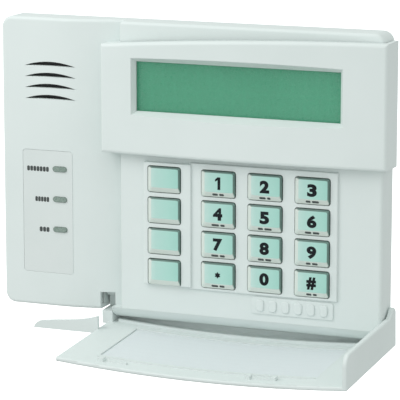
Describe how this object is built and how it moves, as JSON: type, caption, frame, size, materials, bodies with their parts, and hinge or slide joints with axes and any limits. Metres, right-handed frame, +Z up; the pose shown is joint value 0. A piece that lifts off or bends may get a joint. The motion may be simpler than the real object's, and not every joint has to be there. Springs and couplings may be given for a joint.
{
  "type": "alarm keypad panel",
  "caption": "Wall keypad panel for an alarm: speaker grille and status lights on a wing, green display in a raised bezel, rubber keys and a drop-down door.",
  "frame": {"origin": "centre of the wall screw pattern, on the back face of the rear case", "axes": "+X to the right seen from the front, +Y into the wall, +Z up; the front faces -Y"},
  "size_m": [0.1868, 0.0781, 0.1479],
  "materials": {
    "case_plastic": "fine satin texture, off-white",
    "back_plastic": "moulded, off-white",
    "plate_plastic": "smooth moulded plate",
    "card_paper": "printed card, pale grey",
    "mat_silicone": "soft silicone sheet",
    "key_rubber": "translucent backlit silicone, pale green-blue",
    "contact_carbon": "carbon-loaded rubber",
    "window_plastic": "clear polished window",
    "frame_metal": "plated sheet and turned metal",
    "lcd_glass": "blank liquid-crystal panel, green",
    "light_guide": "diffusing light guide",
    "circuit_board": "solder mask over glass laminate",
    "pin_metal": "bright pins",
    "label_plastic": "printed film label",
    "light_pipe": "frosted clear lens",
    "led_chip": "clear chip",
    "black_plastic": "black moulded",
    "gasket_foam": "closed-cell foam",
    "can_metal": "plain can",
    "terminal_plastic": "green moulded"
  },
  "bodies": {
    "case": {"rear_case": "back_plastic", "front_case": "case_plastic", "display_bezel": "case_plastic", "nameplate": "plate_plastic", "key_mat": "mat_silicone", "display_window": "window_plastic", "lcd_frame": "frame_metal", "lcd_glass": "lcd_glass", "lcd_backlight": "light_guide", "lcd_board": "circuit_board", "lcd_spacers": "frame_metal", "lcd_header_pins": "pin_metal", "status_label": "label_plastic", "status_light_pipes": "light_pipe", "status_lights": "led_chip", "sounder": "black_plastic", "sounder_gasket": "gasket_foam", "main_board": "circuit_board", "board_screws": "frame_metal", "key_lights": "led_chip", "controller_chip": "black_plastic", "capacitors": "can_metal", "terminal_block": "terminal_plastic", "terminal_screws": "frame_metal"},
    "door_leaf": {"door": "case_plastic", "door_card": "card_paper"},
    "function_key_1_button": {"function_key_1": "key_rubber", "function_key_1_contact": "contact_carbon"},
    "function_key_2_button": {"function_key_2": "key_rubber", "function_key_2_contact": "contact_carbon"},
    "function_key_3_button": {"function_key_3": "key_rubber", "function_key_3_contact": "contact_carbon"},
    "function_key_4_button": {"function_key_4": "key_rubber", "function_key_4_contact": "contact_carbon"},
    "key_1_button": {"key_1": "key_rubber", "key_1_contact": "contact_carbon"},
    "key_2_button": {"key_2": "key_rubber", "key_2_contact": "contact_carbon"},
    "key_3_button": {"key_3": "key_rubber", "key_3_contact": "contact_carbon"},
    "key_4_button": {"key_4": "key_rubber", "key_4_contact": "contact_carbon"},
    "key_5_button": {"key_5": "key_rubber", "key_5_contact": "contact_carbon"},
    "key_6_button": {"key_6": "key_rubber", "key_6_contact": "contact_carbon"},
    "key_7_button": {"key_7": "key_rubber", "key_7_contact": "contact_carbon"},
    "key_8_button": {"key_8": "key_rubber", "key_8_contact": "contact_carbon"},
    "key_9_button": {"key_9": "key_rubber", "key_9_contact": "contact_carbon"},
    "key_star_button": {"key_star": "key_rubber", "key_star_contact": "contact_carbon"},
    "key_0_button": {"key_0": "key_rubber", "key_0_contact": "contact_carbon"},
    "key_hash_button": {"key_hash": "key_rubber", "key_hash_contact": "contact_carbon"}
  },
  "joints": [
    {"name": "door_hinge", "type": "hinge", "parent": "case", "child": "door_leaf", "pos_m": [0.027, -0.012, -0.059], "axis": [-1, 0, 0], "range_deg": [0, 93]},
    {"name": "function_key_1_press", "type": "slide", "parent": "case", "child": "function_key_1_button", "axis": [0, 1, 0], "range_m": [0, 0.0012], "stiffness_N_per_m": 1250},
    {"name": "function_key_2_press", "type": "slide", "parent": "case", "child": "function_key_2_button", "axis": [0, 1, 0], "range_m": [0, 0.0012], "stiffness_N_per_m": 1250},
    {"name": "function_key_3_press", "type": "slide", "parent": "case", "child": "function_key_3_button", "axis": [0, 1, 0], "range_m": [0, 0.0012], "stiffness_N_per_m": 1250},
    {"name": "function_key_4_press", "type": "slide", "parent": "case", "child": "function_key_4_button", "axis": [0, 1, 0], "range_m": [0, 0.0012], "stiffness_N_per_m": 1250},
    {"name": "key_1_press", "type": "slide", "parent": "case", "child": "key_1_button", "axis": [0, 1, 0], "range_m": [0, 0.0012], "stiffness_N_per_m": 1250},
    {"name": "key_2_press", "type": "slide", "parent": "case", "child": "key_2_button", "axis": [0, 1, 0], "range_m": [0, 0.0012], "stiffness_N_per_m": 1250},
    {"name": "key_3_press", "type": "slide", "parent": "case", "child": "key_3_button", "axis": [0, 1, 0], "range_m": [0, 0.0012], "stiffness_N_per_m": 1250},
    {"name": "key_4_press", "type": "slide", "parent": "case", "child": "key_4_button", "axis": [0, 1, 0], "range_m": [0, 0.0012], "stiffness_N_per_m": 1250},
    {"name": "key_5_press", "type": "slide", "parent": "case", "child": "key_5_button", "axis": [0, 1, 0], "range_m": [0, 0.0012], "stiffness_N_per_m": 1250},
    {"name": "key_6_press", "type": "slide", "parent": "case", "child": "key_6_button", "axis": [0, 1, 0], "range_m": [0, 0.0012], "stiffness_N_per_m": 1250},
    {"name": "key_7_press", "type": "slide", "parent": "case", "child": "key_7_button", "axis": [0, 1, 0], "range_m": [0, 0.0012], "stiffness_N_per_m": 1250},
    {"name": "key_8_press", "type": "slide", "parent": "case", "child": "key_8_button", "axis": [0, 1, 0], "range_m": [0, 0.0012], "stiffness_N_per_m": 1250},
    {"name": "key_9_press", "type": "slide", "parent": "case", "child": "key_9_button", "axis": [0, 1, 0], "range_m": [0, 0.0012], "stiffness_N_per_m": 1250},
    {"name": "key_star_press", "type": "slide", "parent": "case", "child": "key_star_button", "axis": [0, 1, 0], "range_m": [0, 0.0012], "stiffness_N_per_m": 1250},
    {"name": "key_0_press", "type": "slide", "parent": "case", "child": "key_0_button", "axis": [0, 1, 0], "range_m": [0, 0.0012], "stiffness_N_per_m": 1250},
    {"name": "key_hash_press", "type": "slide", "parent": "case", "child": "key_hash_button", "axis": [0, 1, 0], "range_m": [0, 0.0012], "stiffness_N_per_m": 1250}
  ]
}
